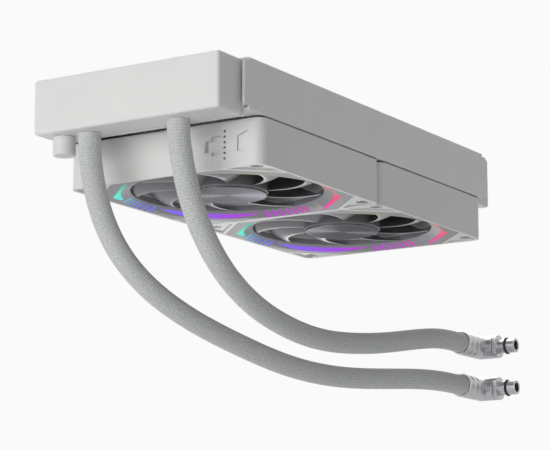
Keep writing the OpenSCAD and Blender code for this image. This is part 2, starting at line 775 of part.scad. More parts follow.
module fan_bezel(fan_y) translate([0, fan_y, 0]) difference() {
  union() {
    translate([0, 0, fan_bot]) linear_extrude(bezel_t) bezel_outline(0);
    translate([0, 0, fan_bot]) cylinder(r = skirt_r, h = pocket_d);
  }
  translate([0, 0, fan_bot - over]) cylinder(r = fan_bore_r, h = pocket_d + 2 * over);
  bevel_cone();
  translate([0, 0, fan_bot - over]) linear_extrude(bezel_t + 2 * over) light_windows(fit_gap);
}

module fan_light_guide(fan_y) translate([0, fan_y, 0]) {
  translate([0, 0, bezel_top]) linear_extrude(guide_t) difference() {
    bezel_outline(-fit_gap);
    circle(skirt_r + fit_gap);
  }
  difference() {
    translate([0, 0, fan_bot]) linear_extrude(bezel_t + guide_t / 2) light_windows(0);
    bevel_cone();
  }
}

module fan_light_board(fan_y) translate([0, fan_y, guide_top]) linear_extrude(light_board_t) difference() {
  circle(bezel_half - fit_gap);
  circle(skirt_r + fit_gap);
}

// A point of a blade: step i from the root, step j along the chord, side +1 above or -1 below
function blade_point(i, j, side) =
  let (u = i / BLADE_R, v = j / BLADE_C,
       r = blade_root_r + u * (blade_tip_r - blade_root_r),
       a = (v - 0.5) * blade_chord - blade_sweep * u * u,
       pitch = blade_h * (1 - blade_taper * u),
       rise = blade_even * v + (1 - blade_even) * v * v,
       z = hub_floor + pitch * rise + side * blade_t / 2)
  [r * cos(a), r * sin(a), z];

module blade() {
  row = BLADE_C + 1;
  side_n = (BLADE_R + 1) * row;
  points = [for (side = [-1, 1], i = [0 : BLADE_R], j = [0 : BLADE_C]) blade_point(i, j, side)];
  lower = [for (i = [0 : BLADE_R - 1], j = [0 : BLADE_C - 1])
    let (a = i * row + j) each [[a, a + row, a + row + 1], [a, a + row + 1, a + 1]]];
  upper = [for (f = lower) [f[0] + side_n, f[2] + side_n, f[1] + side_n]];
  edge = concat([for (j = [0 : BLADE_C]) j],
                [for (i = [1 : BLADE_R]) i * row + BLADE_C],
                [for (j = [BLADE_C - 1 : -1 : 0]) BLADE_R * row + j],
                [for (i = [BLADE_R - 1 : -1 : 1]) i * row]);
  m = len(edge);
  rim = [for (k = [0 : m - 1]) let (a = edge[k], b = edge[(k + 1) % m])
    each [[a, b, b + side_n], [a, b + side_n, a + side_n]]];
  polyhedron(points, concat(lower, upper, rim));
}

module fan_rotor(fan_y) translate([0, fan_y, 0]) {
  difference() {
    translate([0, 0, hub_bot]) cylinder(r = hub_r, h = hub_h);
    translate([0, 0, hub_floor]) cylinder(r = hub_in_r, h = hub_h);
    translate([0, 0, shaft_bot]) cylinder(r = shaft_r, h = hub_h);
  }
  difference() {
    translate([0, 0, shaft_bot]) cylinder(r = boss_r, h = boss_h);
    translate([0, 0, shaft_bot - over]) cylinder(r = shaft_r, h = boss_h + 2 * over);
  }
  for (k = [0 : blade_count - 1]) rotate(360 * k / blade_count) blade();
}

module fan_hub_cap(fan_y) translate([0, fan_y, hub_bot - cap_t]) cylinder(r = hub_r - cap_inset, h = cap_t);

module fan_magnet(fan_y) translate([0, fan_y, magnet_bot]) difference() {
  cylinder(r = magnet_out_r, h = magnet_h);
  translate([0, 0, -over]) cylinder(r = magnet_in_r, h = magnet_h + 2 * over);
}

module fan_shaft(fan_y) translate([0, fan_y, shaft_bot])
  cylinder(r = shaft_r, h = base_bot - over - shaft_bot);

module fan_bearing(fan_y) translate([0, fan_y, bearing_bot]) difference() {
  cylinder(r = bearing_r, h = bearing_len);
  translate([0, 0, -over]) cylinder(r = shaft_r + shaft_play, h = bearing_len + 2 * over);
}

module fan_stator(fan_y) translate([0, fan_y, stator_bot]) difference() {
  union() {
    cylinder(r = stator_ring_r, h = stator_h);
    for (a = [0 : 90 : 270]) rotate(a)
      translate([0, -pole_w / 2, 0]) cube([stator_r - shoe_t / 2, pole_w, stator_h]);
    intersection() {
      difference() {
        cylinder(r = stator_r, h = stator_h);
        translate([0, 0, -over]) cylinder(r = stator_r - shoe_t, h = stator_h + 2 * over);
      }
      for (a = [0, 90]) rotate(a)
        translate([-stator_r, -shoe_w / 2, 0]) cube([2 * stator_r, shoe_w, stator_h]);
    }
  }
  translate([0, 0, -over]) cylinder(r = bearing_tube_r + glue_gap, h = stator_h + 2 * over);
}

module fan_windings(fan_y) translate([0, fan_y, stator_bot]) for (a = [0 : 90 : 270]) rotate(a)
  translate([stator_ring_r + glue_gap, 0, 0]) difference() {
    translate([0, -pole_w / 2 - winding_t, -winding_t])
      cube([neck_len - winding_space, pole_w + 2 * winding_t, stator_h + 2 * winding_t]);
    translate([-over, -pole_w / 2 - glue_gap, -glue_gap])
      cube([neck_len + 2 * over, pole_w + 2 * glue_gap, stator_h + 2 * glue_gap]);
  }

module fan_motor_board(fan_y) translate([0, fan_y, base_bot - motor_board_t]) difference() {
  cylinder(r = motor_board_r, h = motor_board_t);
  translate([0, 0, -over]) cylinder(r = bearing_tube_r + glue_gap, h = motor_board_t + 2 * over);
}

module fan_contacts(fan_y) translate([0, fan_y, fan_mid]) for (end = [0, 1]) mirror([0, end, 0])
  along_y(latch_depth - fan_size / 2, link_depth - latch_depth) at_contacts() circle(contact_r, $fn = 24);

module front_fan_frame() color("white") fan_frame(FANS[0]);
module front_fan_pads() color("black") fan_pads(FANS[0]);
module front_fan_bezel() color("white") fan_bezel(FANS[0]);
module front_fan_light_guide() color("mediumpurple") fan_light_guide(FANS[0]);
module front_fan_light_board() color("white") fan_light_board(FANS[0]);
module front_fan_rotor() color("lightgray") fan_rotor(FANS[0]);
module front_fan_hub_cap() color("silver") fan_hub_cap(FANS[0]);
module front_fan_magnet() color("dimgray") fan_magnet(FANS[0]);
module front_fan_shaft() color("silver") fan_shaft(FANS[0]);
module front_fan_bearing() color("goldenrod") fan_bearing(FANS[0]);
module front_fan_stator() color("gray") fan_stator(FANS[0]);
module front_fan_windings() color("peru") fan_windings(FANS[0]);
module front_fan_motor_board() color("darkgreen") fan_motor_board(FANS[0]);
module front_fan_contacts() color("gold") fan_contacts(FANS[0]);

module rear_fan_frame() color("white") fan_frame(FANS[1]);
module rear_fan_pads() color("black") fan_pads(FANS[1]);
module rear_fan_bezel() color("white") fan_bezel(FANS[1]);
module rear_fan_light_guide() color("mediumpurple") fan_light_guide(FANS[1]);
module rear_fan_light_board() color("white") fan_light_board(FANS[1]);
module rear_fan_rotor() color("lightgray") fan_rotor(FANS[1]);
module rear_fan_hub_cap() color("silver") fan_hub_cap(FANS[1]);
module rear_fan_magnet() color("dimgray") fan_magnet(FANS[1]);
module rear_fan_shaft() color("silver") fan_shaft(FANS[1]);
module rear_fan_bearing() color("goldenrod") fan_bearing(FANS[1]);
module rear_fan_stator() color("gray") fan_stator(FANS[1]);
module rear_fan_windings() color("peru") fan_windings(FANS[1]);
module rear_fan_motor_board() color("darkgreen") fan_motor_board(FANS[1]);
module rear_fan_contacts() color("gold") fan_contacts(FANS[1]);

// Plug that joins the facing key recesses of the two fans
module fan_link() color("white") translate([0, 0, fan_mid])
  along_y(-link_depth - (fan_pitch - fan_size) / 2 + fit_gap,
          2 * link_depth + fan_pitch - fan_size - 2 * fit_gap)
    key_outline(fit_gap);

// One fan screw, from its seat in the frame to just past the rail's lower flange
module fan_screw() {
  seat = fan_bot + head_pocket_d;
  translate([0, 0, seat - head_h]) difference() {
    cylinder(r = head_r, h = head_h);
    for (a = [0, 90]) rotate(a)
      translate([-cross_len / 2, -cross_w / 2, -over]) cube([cross_len, cross_w, cross_d + over]);
  }
  translate([0, 0, seat]) cylinder(r = screw_r, h = rail_t + screw_past - rail_h - seat);
}

module fan_screws() color("dimgray")
  for (fan_y = FANS, p = SCREW_PLACES) translate([p[0], fan_y + p[1], 0]) fan_screw();

front_tank();
rear_tank();
front_header();
rear_header();
left_rail();
right_rail();
core_tubes();
core_fins();
tank_divider();
filler_neck();
filler_cap();
filler_seal();
inlet_nipple();
outlet_nipple();
inlet_hose();
outlet_hose();
inlet_collar();
outlet_collar();
inlet_elbow();
outlet_elbow();
inlet_spigot();
outlet_spigot();
inlet_seal();
outlet_seal();
front_fan_frame();
front_fan_pads();
front_fan_bezel();
front_fan_light_guide();
front_fan_light_board();
front_fan_rotor();
front_fan_hub_cap();
front_fan_magnet();
front_fan_shaft();
front_fan_bearing();
front_fan_stator();
front_fan_windings();
front_fan_motor_board();
front_fan_contacts();
rear_fan_frame();
rear_fan_pads();
rear_fan_bezel();
rear_fan_light_guide();
rear_fan_light_board();
rear_fan_rotor();
rear_fan_hub_cap();
rear_fan_magnet();
rear_fan_shaft();
rear_fan_bearing();
rear_fan_stator();
rear_fan_windings();
rear_fan_motor_board();
rear_fan_contacts();
fan_link();
fan_screws();
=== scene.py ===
"""Liquid cooling radiator with two lit fans under it and two sleeved hoses.

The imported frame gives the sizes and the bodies. Each section makes and finishes one piece or group of like pieces,
in the order in which the radiator is put together.
"""

import bmesh
import bpy
import numpy as np
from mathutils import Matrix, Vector


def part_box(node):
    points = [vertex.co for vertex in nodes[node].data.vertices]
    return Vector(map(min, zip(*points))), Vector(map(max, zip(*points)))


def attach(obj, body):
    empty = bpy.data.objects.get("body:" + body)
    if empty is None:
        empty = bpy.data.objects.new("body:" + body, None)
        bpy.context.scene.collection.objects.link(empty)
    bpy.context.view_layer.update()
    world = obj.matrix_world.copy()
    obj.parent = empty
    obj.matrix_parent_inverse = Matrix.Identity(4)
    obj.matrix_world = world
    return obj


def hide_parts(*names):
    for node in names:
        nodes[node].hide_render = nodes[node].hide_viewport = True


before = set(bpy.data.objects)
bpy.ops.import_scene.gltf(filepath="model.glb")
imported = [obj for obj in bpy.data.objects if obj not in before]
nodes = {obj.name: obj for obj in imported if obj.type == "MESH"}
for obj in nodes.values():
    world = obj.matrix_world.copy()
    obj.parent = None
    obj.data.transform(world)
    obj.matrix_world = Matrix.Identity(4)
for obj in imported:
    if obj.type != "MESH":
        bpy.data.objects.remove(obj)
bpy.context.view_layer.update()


# Core: flat aluminium tubes carry the coolant, and folded strips of thin fin stock fill the rows between them.
# Tubes, fins and header plates are brazed together in one furnace run and then get a thin white coat.
def linear(hex_colour):
    """Linear RGBA of an sRGB hex colour: each channel has the sRGB curve undone."""
    c = np.array([int(hex_colour[i:i + 2], 16) for i in (1, 3, 5)]) / 255
    return (*np.where(c <= 0.04045, c / 12.92, ((c + 0.055) / 1.055) ** 2.4), 1.0)


def add(tree, kind, inputs=None, **settings):
    """One shader node: settings go to its own fields, inputs to its sockets, as values or as links."""
    node = tree.nodes.new(kind)
    for field, value in settings.items():
        setattr(node, field, value)
    for socket, value in (inputs or {}).items():
        if isinstance(value, bpy.types.NodeSocket):
            tree.links.new(value, node.inputs[socket])
        else:
            node.inputs[socket].default_value = value
    return node


def new_finish(name, **sockets):
    """A material with one main shader, whose constant sockets are set by name with _ for a space."""
    material = bpy.data.materials.new(name)
    material.use_nodes = True
    tree = material.node_tree
    tree.nodes.clear()
    shader = add(tree, "ShaderNodeBsdfPrincipled", {k.replace("_", " "): v for k, v in sockets.items()})
    add(tree, "ShaderNodeOutputMaterial", {"Surface": shader.outputs[0]})
    return material, tree, shader


def uneven_tone(tree, shader, dark, light, size, detail, start=0.0, stop=1.0):
    """Base colour that drifts from a dark to a light tone with soft noise, whose patches have a size in metres.
    Start and stop are the heights of the noise, 0 to 1, between which the tone changes."""
    place = add(tree, "ShaderNodeTexCoord")
    drift = add(tree, "ShaderNodeTexNoise",
                {"Vector": place.outputs["Object"], "Scale": 1 / size, "Detail": detail})
    tone = add(tree, "ShaderNodeValToRGB", {"Fac": drift.outputs["Fac"]})
    for element, position, colour in zip(tone.color_ramp.elements, (start, stop), (dark, light)):
        element.position, element.color = position, linear(colour)
    tree.links.new(tone.outputs["Color"], shader.inputs["Base Color"])


def fine_relief(tree, shader, size, detail, strength, height):
    """Small bumps from soft noise, whose grains have a size and a height in metres."""
    place = add(tree, "ShaderNodeTexCoord")
    grit = add(tree, "ShaderNodeTexNoise",
               {"Vector": place.outputs["Object"], "Scale": 1 / size, "Detail": detail})
    bump = add(tree, "ShaderNodeBump",
               {"Height": grit.outputs["Fac"], "Strength": strength, "Distance": height})
    tree.links.new(bump.outputs["Normal"], shader.inputs["Normal"])


def dress(material, *names):
    """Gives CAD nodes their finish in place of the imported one."""
    for name in names:
        nodes[name].data.materials.clear()
        nodes[name].data.materials.append(material)


def put_in_scene(name, data):
    """A new object at the origin for a mesh, a lamp or a camera."""
    thing = bpy.data.objects.new(name, data)
    bpy.context.scene.collection.objects.link(thing)
    return thing


def fit_piece(name, mesh, body, material, stands_for, smooth=True):
    """Object for a finished mesh, with its finish, the body it rides on and the nodes it stands for."""
    mesh.polygons.foreach_set("use_smooth", np.full(len(mesh.polygons), smooth))
    mesh.materials.clear()
    mesh.materials.append(material)
    piece = put_in_scene(name, mesh)
    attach(piece, body)
    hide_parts(*stands_for)
    return piece


def surface_piece(name, patches, body, material, stands_for, smooth=True):
    """One object from grids of points (rows, columns, 3), each with a flag that joins its last column to its
    first. Quads run between neighbouring points; doubles are merged, and the faces are turned outwards."""
    points, faces, start = [], [], 0
    for grid, wraps in patches:
        rows, columns = grid.shape[:2]
        ids = start + np.arange(rows * columns).reshape(rows, columns)
        if wraps:
            ids = np.hstack([ids, ids[:, :1]])
        corners = [ids[:-1, :-1], ids[:-1, 1:], ids[1:, 1:], ids[1:, :-1]]
        faces.append(np.stack(corners, -1).reshape(-1, 4))
        points.append(grid.reshape(-1, 3))
        start += rows * columns
    mesh = bpy.data.meshes.new(name)
    mesh.from_pydata(np.vstack(points).tolist(), [], np.vstack(faces).tolist())
    form = bmesh.new()
    form.from_mesh(mesh)
    bmesh.ops.remove_doubles(form, verts=form.verts, dist=1e-7)
    bmesh.ops.dissolve_degenerate(form, edges=form.edges, dist=1e-8)
    bmesh.ops.recalc_face_normals(form, faces=form.faces)
    form.to_mesh(mesh)
    form.free()
    return fit_piece(name, mesh, body, material, stands_for, smooth)


# Dip coat over brazed aluminium: matt white, a little grey and uneven where the coat runs thin on edges and
# folds, with a fine grit just under a millimetre across.
dip_coat, tree, shader = new_finish("dip_coat_on_aluminium", Roughness=0.5, IOR=1.5)
uneven_tone(tree, shader, "#CFD0D1", "#DCDDDC", size=0.009, detail=4.0, start=0.35, stop=0.65)
fine_relief(tree, shader, size=0.0008, detail=2.0, strength=0.25, height=0.0002)
dress(dip_coat, "core_tubes", "tank_divider")

TUBE_COUNT, TUBE_W = 12, 0.002
FIN_STOCK, FOLD = 0.00012, 0.00126
HALF_FLAT = 0.16
low, high = (np.array(corner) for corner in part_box("core_fins"))
strip_w = (high[0] - low[0] - TUBE_COUNT * TUBE_W) / (TUBE_COUNT + 1)
strip_l = high[1] - low[1] - FIN_STOCK
folds = round(strip_l / FOLD)
# Each strip swings from tube to tube once a fold, with a short flat at every crest, where it is brazed.
crest = np.repeat(np.arange(folds + 1), 2)
share = np.clip(crest + np.tile([-HALF_FLAT, HALF_FLAT], folds + 1), 0, folds) / folds
fold_y = low[1] + FIN_STOCK / 2 + share * strip_l
swing = np.where(crest % 2, 0.5, -0.5) * (strip_w - FIN_STOCK)
strips = []
for row in range(TUBE_COUNT + 1):
    grid = np.empty((2, len(fold_y), 3))
    grid[..., 0] = (row - TUBE_COUNT / 2) * (strip_w + TUBE_W) + swing
    grid[..., 1] = fold_y
    grid[..., 2] = np.array([low[2], high[2]])[:, None]
    strips.append((grid, False))
fins = surface_piece("folded_fins", strips, "radiator", dip_coat, ["core_fins"], smooth=False)
stock = fins.modifiers.new("stock", "SOLIDIFY")
stock.thickness, stock.offset = FIN_STOCK, 0


# Tanks and header plates: pressed aluminium boxes brazed onto the plates that hold the tube ends.
# They are powder coated satin white, and their edges carry the press tool's radius.
def rounded_box(low, high, radius, steps=6):
    """Box with rounded edges: the corners of the box shrunk by the radius, plus the radius times a unit
    direction that sweeps the sphere octant by octant, so the flats open up between the octants. A middle point
    closes each end."""
    low, high = np.array(low), np.array(high)
    quarter = np.linspace(0, np.pi / 2, steps + 1)
    tilt = np.concatenate([quarter, quarter + np.pi / 2])[:, None]
    turn = np.concatenate([quarter + k * np.pi / 2 for k in range(4)])[None]
    side_x = np.repeat([1, -1, -1, 1], steps + 1)[None]
    side_y = np.repeat([1, 1, -1, -1], steps + 1)[None]
    side_z = np.repeat([1, -1], steps + 1)[:, None]
    half = (high - low) / 2 - radius
    grid = np.stack(np.broadcast_arrays(side_x * half[0] + radius * np.sin(tilt) * np.cos(turn),
                                        side_y * half[1] + radius * np.sin(tilt) * np.sin(turn),
                                        side_z * half[2] + radius * np.cos(tilt)), -1)
    ends = grid[[0, -1]].copy()
    ends[..., :2] = 0
    return np.concatenate([ends[:1], grid, ends[1:]]) + (low + high) / 2


# Satin powder coat: the powder flows to a faint orange peel about a millimetre across, which softens the gloss.
satin_powder, tree, shader = new_finish("satin_white_powder_coat", Roughness=0.36, IOR=1.5)
uneven_tone(tree, shader, "#E2E2E1", "#EAEAE9", size=0.03, detail=3.0)
fine_relief(tree, shader, size=0.0011, detail=1.0, strength=0.12, height=0.0002)
dress(satin_powder, "front_header", "rear_header")

TANK_EDGE = 0.0016
for end in ("front", "rear"):
    shell = rounded_box(*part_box(end + "_tank"), TANK_EDGE)
    tank = surface_piece(end + "_tank_shell", [(shell, True)], "radiator", satin_powder,
                         [end + "_tank"])
    tank.modifiers.new("flats", "WEIGHTED_NORMAL")


# Side rails: folded sheet channels that tie the tanks together, with tapped holes for mounting and fan screws.
# They are coated in the same run as the tanks, after folding.
SHARP = 0.7


def eased_copy(node, name, width, body, material):
    """Copy of a CAD node whose loose triangles are merged and whose edges, where the faces meet at more than
    the sharp angle in radians, are rounded over a given width."""
    mesh = nodes[node].data.copy()
    mesh.name = name
    form = bmesh.new()
    form.from_mesh(mesh)
    bmesh.ops.remove_doubles(form, verts=form.verts, dist=1e-6)
    bmesh.ops.dissolve_limit(form, angle_limit=0.01, verts=form.verts, edges=form.edges)
    form.to_mesh(mesh)
    form.free()
    for stored in {"custom_normal", "sharp_face", "sharp_edge"} & set(mesh.attributes.keys()):
        mesh.attributes.remove(mesh.attributes[stored])
    piece = fit_piece(name, mesh, body, material, [node])
    edge = piece.modifiers.new("edge", "BEVEL")
    edge.width, edge.segments = width, 2
    edge.limit_method, edge.angle_limit = "ANGLE", SHARP
    edge.harden_normals, edge.face_strength_mode = True, "FSTR_AFFECTED"
    piece.modifiers.new("flats", "WEIGHTED_NORMAL").use_face_influence = True
    return piece


RAIL_EDGE = 0.00025
for side in ("left", "right"):
    eased_copy(side + "_rail", side + "_rail_channel", RAIL_EDGE, "radiator", satin_powder)


# Filler: a short plated neck in the tank's floor with a flat rubber seal under a smooth screw cap.
# The cap is moulded in white ABS and stays shut once the loop is filled.
def turned(profile, centre, axis, segments=72):
    """Profile of (radius, distance along the axis) pairs carried round an axis, y or z, through a centre."""
    radius, along = np.array(profile).T
    turn = np.linspace(0, 2 * np.pi, segments, endpoint=False)
    ring = [radius[:, None] * np.cos(turn), radius[:, None] * np.sin(turn),
            np.repeat(along[:, None], segments, 1)]
    order = {"z": (0, 1, 2), "y": (1, 2, 0)}[axis]
    return np.stack([ring[k] for k in order], -1) + np.array(centre)


def fillet(radius_at, along_at, radius, start, stop, steps=6):
    """Points of a rounded edge in a turned profile: an arc about (radius_at, along_at), angles in degrees."""
    a = np.radians(np.linspace(start, stop, steps + 1))
    return list(zip(radius_at + radius * np.cos(a), along_at + radius * np.sin(a)))


def uneven_gloss(tree, shader, size, detail, least, most):
    """Roughness that drifts between two values with soft noise, whose patches have a size in metres."""
    place = add(tree, "ShaderNodeTexCoord")
    marks = add(tree, "ShaderNodeTexNoise",
                {"Vector": place.outputs["Object"], "Scale": 1 / size, "Detail": detail})
    gloss = add(tree, "ShaderNodeMapRange", {"Value": marks.outputs["Fac"], "To Min": least, "To Max": most})
    tree.links.new(gloss.outputs["Result"], shader.inputs["Roughness"])


# Moulded white ABS: a fine even spark-eroded grain, about a third of a millimetre, and hardly any colour drift.
white_moulding, tree, shader = new_finish("moulded_white_abs", Roughness=0.42, IOR=1.53)
uneven_tone(tree, shader, "#DDDDDC", "#E3E3E2", size=0.04, detail=2.0)
fine_relief(tree, shader, size=0.00035, detail=1.0, strength=0.1, height=0.0001)

CAP_EDGE, CAP_LIP, CAP_GAP = 0.0009, 0.0003, 0.0001
CAP_BORE_R, CAP_FLOOR = 0.00405, 0.0015
low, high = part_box("filler_cap")
centre = ((low.x + high.x) / 2, (low.y + high.y) / 2, 0)
cap_r = (high.x - low.x) / 2
cap = [(0, low.z)] + fillet(cap_r - CAP_EDGE, low.z + CAP_EDGE, CAP_EDGE, -90, 0)
cap += fillet(cap_r - CAP_LIP, high.z - CAP_GAP - CAP_LIP, CAP_LIP, 0, 90, 3)
cap += [(CAP_BORE_R, high.z - CAP_GAP), (CAP_BORE_R, low.z + CAP_FLOOR), (0, low.z + CAP_FLOOR)]
surface_piece("filler_screw_cap", [(turned(cap, centre, "z"), True)], "radiator", white_moulding,
              ["filler_cap"])

# Black rubber, for the seals and the fans' pads: cured in a blasted mould, so matt, with a bloom that greys it.
black_rubber, tree, shader = new_finish("moulded_black_rubber", Roughness=0.8, IOR=1.5)
uneven_tone(tree, shader, "#2A2A2B", "#3B3B3C", size=0.002, detail=3.0)
dress(black_rubber, "filler_seal", "inlet_seal", "outlet_seal", "front_fan_pads", "rear_fan_pads")

# Satin nickel plate over turned brass: fine turning marks show as a slight unevenness of the gloss.
satin_nickel, tree, shader = new_finish("satin_nickel_plate", Metallic=1.0, Base_Color=linear("#B9BABC"))
uneven_gloss(tree, shader, size=0.0015, detail=3.0, least=0.28, most=0.42)
dress(satin_nickel, "filler_neck", "inlet_nipple", "outlet_nipple")


# Fan frames: one moulding each, with the air opening, the corner screw holes and the motor base on its struts.
# The end faces carry a contact column, a key recess and a latch groove, so the fans plug into each other.
FANS = ("front_fan_", "rear_fan_")
FRAME_EDGE = 0.0003
for fan in FANS:
    eased_copy(fan + "frame", fan + "housing", FRAME_EDGE, "radiator", white_moulding)


# Contacts: pins pressed into holes of the end faces, seen end on, and the moulded plug that joins the two fans.
# The pins are dull tin plate over brass, made slightly uneven by the plating bath. Their dark grey is partly the
# tin's own tone and partly painted shade for the holes they sit in.
tin_pin_with_painted_shade, tree, shader = new_finish("tin_plate_with_painted_shade", Metallic=1.0, Base_Color=linear("#6E6A62"))
uneven_gloss(tree, shader, size=0.0004, detail=2.0, least=0.4, most=0.6)
dress(tin_pin_with_painted_shade, *(fan + "contacts" for fan in FANS))
dress(white_moulding, "fan_link")


# Motors: a wound stator on the bearing tube inside the hub, a ring magnet glued in the rotor, a steel shaft in a
# bronze bearing and a small drive board under the base. Little of them shows once the fan is closed.
def speckled(name, dark, light, size, roughness, metallic=0.0):
    """A finish whose tone drifts between two colours over patches with a size in metres."""
    material, tree, shader = new_finish(name, Roughness=roughness, Metallic=metallic)
    uneven_tone(tree, shader, dark, light, size, detail=3.0)
    return material


# Ground ferrite is dull dark grey, with the grains of the pressed powder.
ground_ferrite = speckled("ground_ferrite", "#38383A", "#4A4A4C", 0.0008, 0.6)
# Zinc plate on steel is a bluish grey that shifts a little with the crystals of the plating.
zinc_steel = speckled("zinc_plated_steel", "#8A8B8E", "#A9AAAD", 0.0012, 0.35, 1.0)
# Sintered bronze is brown and open-grained, half dark with oil.
sinter_bronze = speckled("sintered_bronze", "#8F6A3C", "#B08752", 0.0005, 0.45, 1.0)
# Enamelled copper wire glints reddish brown, turn by turn.
enamel_wire = speckled("enamelled_copper_wire", "#8A4A24", "#B86A38", 0.0004, 0.35, 1.0)
# White solder mask is a smooth lacquer with a slight green cast from the board under it.
white_mask = speckled("white_solder_mask", "#D6D9D6", "#E2E4E1", 0.004, 0.4)
for fan in FANS:
    dress(ground_ferrite, fan + "magnet")
    dress(zinc_steel, fan + "shaft", fan + "stator")
    dress(sinter_bronze, fan + "bearing")
    dress(enamel_wire, fan + "windings")
    dress(white_mask, fan + "motor_board", fan + "light_board")


# Rotors: hub and nine wide swept blades moulded in one shot of plastic, pressed onto the motor's shaft.
# Each blade climbs along its chord, trails back towards its tip and has rounded edges.
HUB_R, HUB_WALL, HUB_EDGE, HUB_CHAMFER = 0.022, 0.0015, 0.0012, 0.0003
BOSS_R, BOSS_H, BOSS_BORE_R, BOSS_BORE_D = 0.0036, 0.0045, 0.0015, 0.0005
BLADES, CHORD, SWEEP = 9, np.radians(38), np.radians(24)
BLADE_H, TAPER, EVEN, BLADE_T = 0.014, 0.25, 0.35, 0.0013
ROOT_R, TIP_R = 0.02125, 0.0501


def blade_skin(centre_y, floor, turn, rows=22, half=18):
    """Closed skin of one blade. u runs from root to tip, and the loop runs along the chord below and back above.
    Angle = (v - 1/2) chord - sweep u^2; height = climb (even v + (1 - even) v^2), less at the tip; the thickness
    falls to nothing at both edges, at the root inside the hub's wall and at the tip, so the skin is closed."""
    u = np.concatenate([[0.0], np.linspace(0, 1, rows), [1.0]])[:, None]
    w = np.linspace(0, 2 * np.pi, 2 * half, endpoint=False)[None]
    v = 0.5 - 0.5 * np.cos(w)
    r = ROOT_R + u * (TIP_R - ROOT_R)
    angle = (v - 0.5) * CHORD - SWEEP * u ** 2 + turn
    thick = BLADE_T * np.clip(1 - (2 * v - 1) ** 6, 0, 1) ** 0.5 * np.pad(np.ones(rows), 1)[:, None]
    climb = BLADE_H * (1 - TAPER * u) * (EVEN * v + (1 - EVEN) * v ** 2)
    z = floor + climb - np.sign(np.sin(w)) * thick / 2
    return np.stack(np.broadcast_arrays(r * np.cos(angle), centre_y + r * np.sin(angle), z), -1)


# Polished PBT: a satin gloss that drifts over about a centimetre, as the polishing of the tool did.
blade_plastic, tree, shader = new_finish("polished_pbt_with_painted_shade", IOR=1.55, Coat_Weight=0.1, Coat_Roughness=0.3)
# Painted shade: the mid grey is partly the plastic's own tone and partly darkened for the shade the rotors turn in
# under the radiator.
uneven_tone(tree, shader, "#717277", "#7D7E83", size=0.012, detail=3.0)
uneven_gloss(tree, shader, size=0.012, detail=3.0, least=0.3, most=0.4)

for fan in FANS:
    low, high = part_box(fan + "rotor")
    shaft_low, shaft_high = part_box(fan + "shaft")
    centre = (0, (shaft_low.y + shaft_high.y) / 2, 0)
    floor = low.z + HUB_WALL
    hub = [(0, low.z)] + fillet(HUB_R - HUB_EDGE, low.z + HUB_EDGE, HUB_EDGE, -90, 0)
    hub += [(HUB_R, high.z - HUB_CHAMFER), (HUB_R - HUB_CHAMFER, high.z)]
    hub += [(HUB_R - HUB_WALL, high.z), (HUB_R - HUB_WALL, floor)]
    hub += [(BOSS_R, floor), (BOSS_R, floor + BOSS_H), (BOSS_BORE_R, floor + BOSS_H)]
    hub += [(BOSS_BORE_R, floor - BOSS_BORE_D), (0, floor - BOSS_BORE_D)]
    patches = [(turned(hub, centre, "z", 96), True)]
    patches += [(blade_skin(centre[1], floor, 2 * np.pi * k / BLADES), True) for k in range(BLADES)]
    rotor = surface_piece(fan + "blades", patches, fan.split("_")[0] + "_rotor", blade_plastic,
                          [fan + "rotor"])
    rotor.modifiers.new("flats", "WEIGHTED_NORMAL")


# Hub caps: thin aluminium discs spun on a lathe and glued to the hubs, with a dark grey metal tone.
# The tool leaves fine rings, so light fans out from the centre in two opposite lobes.
RING = 0.002513
DISC_EDGE, DISC_RIM = 0.0004, 0.0012
DISH, DISH_HALFWAY = 0.0002, 0.00014
for fan in FANS:
    low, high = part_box(fan + "hub_cap")
    centre = ((low.x + high.x) / 2, (low.y + high.y) / 2, 0)
    # Spun aluminium: the gloss is drawn out across the rings. The dark tone and a dim edge tint keep the edge of the
    # reflection dull, where bare aluminium would turn white.
    spun_disc, tree, shader = new_finish("spun_aluminium_" + fan[:-1], Metallic=1.0, Roughness=0.27,
                                         Anisotropic=0.88, Anisotropic_Rotation=0.25,
                                         Base_Color=linear("#808184"), Specular_Tint=linear("#969698"))
    place = add(tree, "ShaderNodeTexCoord")
    about = add(tree, "ShaderNodeMapping",
                {"Vector": place.outputs["Object"], "Location": (-centre[0], -centre[1], 0)})
    # The rings of the tool's feed are drawn 2.5 mm apart, far coarser than real, so that they show.
    rings = add(tree, "ShaderNodeTexWave",
                {"Vector": about.outputs["Vector"], "Scale": 2 * np.pi / RING / 20, "Distortion": 0.0},
                wave_type="RINGS", rings_direction="Z")
    bump = add(tree, "ShaderNodeBump", {"Height": rings.outputs["Fac"], "Strength": 0.15, "Distance": 0.0001})
    tree.links.new(bump.outputs["Normal"], shader.inputs["Normal"])
    lay = add(tree, "ShaderNodeTangent", direction_type="RADIAL", axis="Z")
    tree.links.new(lay.outputs["Tangent"], shader.inputs["Tangent"])
    disc_r = (high.x - low.x) / 2
    disc = [(0, low.z + DISH), (disc_r * 0.5, low.z + DISH_HALFWAY), (disc_r - DISC_RIM, low.z)]
    disc += fillet(disc_r - DISC_EDGE, low.z + DISC_EDGE, DISC_EDGE, -90, 0, 4)
    disc += [(disc_r, high.z), (0, high.z)]
    surface_piece(fan + "hub_disc", [(turned(disc, centre, "z", 128), True)], fan.split("_")[0] + "_rotor",
                  spun_disc, [fan + "hub_cap"])


